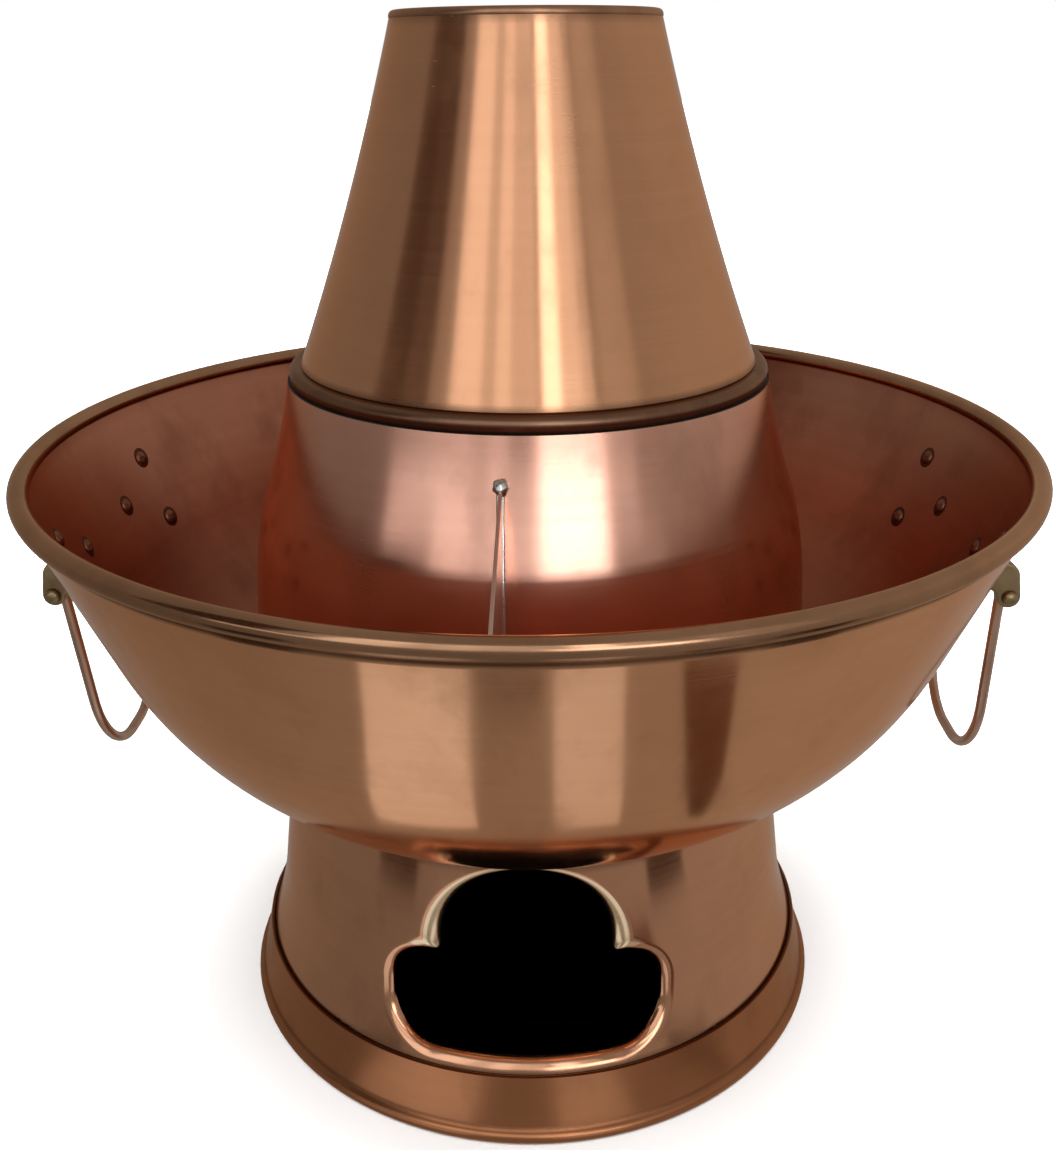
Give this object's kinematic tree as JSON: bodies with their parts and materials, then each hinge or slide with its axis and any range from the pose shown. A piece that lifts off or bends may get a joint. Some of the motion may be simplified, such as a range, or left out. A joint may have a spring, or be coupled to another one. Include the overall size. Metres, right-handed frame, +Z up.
{
  "type": "charcoal hot pot",
  "caption": "Spun copper charcoal hot pot: ring-shaped moat bowl around a fire tube, lift-off chimney, vented foot, soup dividers and drop handles.",
  "frame": {"origin": "on the pot's axis, on the surface that the foot stands on", "axes": "+Z up along the pot's axis; the vent faces -Y; the handles hang on -X and +X"},
  "size_m": [0.32, 0.32, 0.327],
  "materials": {
    "bowl_copper": "spun and lightly brushed copper",
    "tube_copper": "dull copper with a heat-darkened lower part",
    "seam_brown": "dark oxidised brazed copper",
    "plate_copper": "brushed copper sheet, faintly tinned",
    "solder": "smeared tin solder",
    "foot_copper": "satin copper",
    "sooty_copper": "copper blackened by soot and ash",
    "lug_brass": "dull cast brass",
    "rivet_copper": "hammered copper",
    "grate_iron": "rough cast iron with ash dust",
    "chimney_copper": "polished copper with upright brushing",
    "wire_copper": "drawn copper wire"
  },
  "bodies": {
    "pot": {"bowl_shell": "bowl_copper", "rim_wire": "bowl_copper", "fire_tube": "tube_copper", "chimney_seat": "seam_brown", "divider_front": "plate_copper", "divider_back": "plate_copper", "divider_solder": "solder", "foot_skirt": "foot_copper", "vent_frame": "foot_copper", "foot_band": "foot_copper", "foot_wire": "foot_copper", "ash_floor": "sooty_copper", "lug_left_front": "lug_brass", "lug_left_back": "lug_brass", "lug_right_front": "lug_brass", "lug_right_back": "lug_brass", "lug_rivets": "rivet_copper"},
    "grate": {"charcoal_grate": "grate_iron"},
    "chimney": {"chimney_shell": "chimney_copper", "chimney_spigot": "sooty_copper", "chimney_wire": "seam_brown"},
    "handle_left": {"handle_left": "wire_copper"},
    "handle_right": {"handle_right": "wire_copper"}
  },
  "joints": [
    {"name": "chimney_lift", "type": "slide", "parent": "pot", "child": "chimney", "axis": [0, 0, 1], "range_m": [0, 0.12]},
    {"name": "grate_lift", "type": "slide", "parent": "pot", "child": "grate", "axis": [0, 0, 1], "range_m": [0, 0.105]},
    {"name": "handle_left_swing", "type": "hinge", "parent": "pot", "child": "handle_left", "pos_m": [-0.15, 0, 0.158], "axis": [0, 1, 0], "range_deg": [-30, 150]},
    {"name": "handle_right_swing", "type": "hinge", "parent": "pot", "child": "handle_right", "pos_m": [0.15, 0, 0.158], "axis": [0, -1, 0], "range_deg": [-30, 150]}
  ]
}
